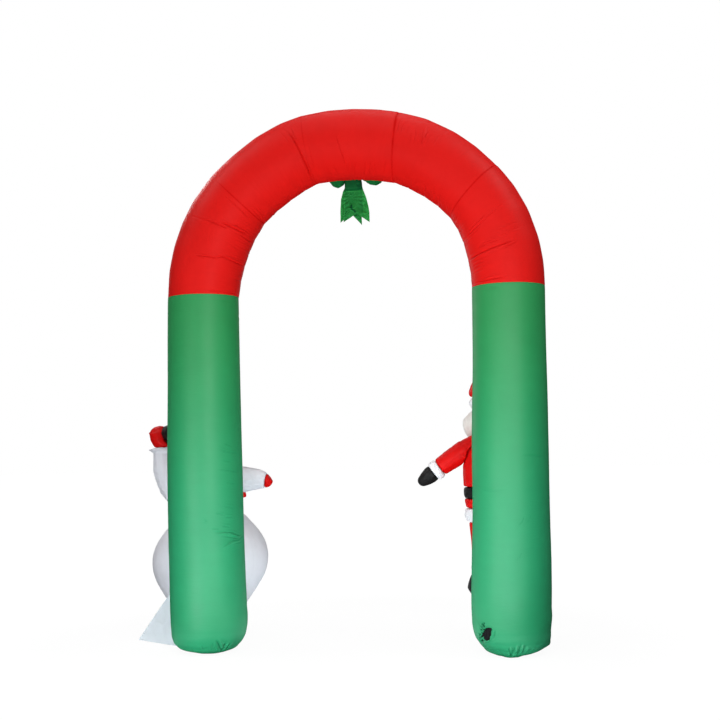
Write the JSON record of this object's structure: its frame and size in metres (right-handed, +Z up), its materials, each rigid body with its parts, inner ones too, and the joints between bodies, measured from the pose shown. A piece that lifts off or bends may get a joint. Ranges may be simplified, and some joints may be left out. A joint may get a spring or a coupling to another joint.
{
  "type": "inflatable arch",
  "caption": "Air-filled walk-through yard arch of sewn cloth: green legs, a red panelled top, a ribbon bow, and a snowman and a Father Christmas on its front.",
  "frame": {"origin": "middle of the outer box, on the ground plane", "axes": "+Z up, +Y towards the front that carries the figures, +X towards the Father Christmas leg"},
  "size_m": [1.9226, 0.8385, 2.3932],
  "materials": {
    "red_cloth": "matt",
    "green_cloth": "matt",
    "ribbon_cloth": "matt",
    "black_mesh": "matt",
    "black_cloth": "matt",
    "figure_red_cloth": "matt",
    "yellow_cloth": "matt",
    "orange_cloth": "matt",
    "skin_cloth": "matt",
    "flap_cloth": "matt",
    "white_cloth": "matt"
  },
  "bodies": {
    "root": {"arch_panel_1": "red_cloth", "arch_panel_2": "red_cloth", "arch_panel_3": "red_cloth", "arch_panel_4": "red_cloth", "arch_panel_5": "red_cloth", "base_left": "green_cloth", "base_right": "green_cloth", "bow_knot": "ribbon_cloth", "bow_loop_left": "ribbon_cloth", "bow_loop_right": "ribbon_cloth", "bow_tail_1": "ribbon_cloth", "bow_tail_2": "ribbon_cloth", "inlet_collar": "green_cloth", "inlet_mesh": "black_mesh", "leg_left": "green_cloth", "leg_right": "green_cloth", "snow_arm_inner": "white_cloth", "snow_arm_outer": "white_cloth", "snow_body": "white_cloth", "snow_cuff_outer": "white_cloth", "snow_flap": "flap_cloth", "snow_hat_band": "figure_red_cloth", "snow_hat_brim": "black_cloth", "snow_hat_crown": "black_cloth", "snow_head": "white_cloth", "snow_mitten_inner": "figure_red_cloth", "snow_mitten_outer": "figure_red_cloth", "snow_nose": "orange_cloth", "snow_scarf": "figure_red_cloth", "snow_scarf_tail": "figure_red_cloth", "snow_torso": "white_cloth", "xmas_beard": "white_cloth", "xmas_belt": "black_cloth", "xmas_boot_cuff_left": "white_cloth", "xmas_boot_cuff_right": "white_cloth", "xmas_boot_left": "black_cloth", "xmas_boot_right": "black_cloth", "xmas_buckle": "yellow_cloth", "xmas_coat": "figure_red_cloth", "xmas_cuff_inner": "white_cloth", "xmas_cuff_outer": "white_cloth", "xmas_hat": "figure_red_cloth", "xmas_hat_trim": "white_cloth", "xmas_head": "skin_cloth", "xmas_hem": "white_cloth", "xmas_leg_left": "figure_red_cloth", "xmas_leg_right": "figure_red_cloth", "xmas_mitten_inner": "black_cloth", "xmas_mitten_outer": "black_cloth", "xmas_nose": "skin_cloth", "xmas_pompom": "white_cloth", "xmas_skirt": "figure_red_cloth", "xmas_sleeve_inner": "figure_red_cloth", "xmas_sleeve_outer": "figure_red_cloth"}
  },
  "joints": []
}
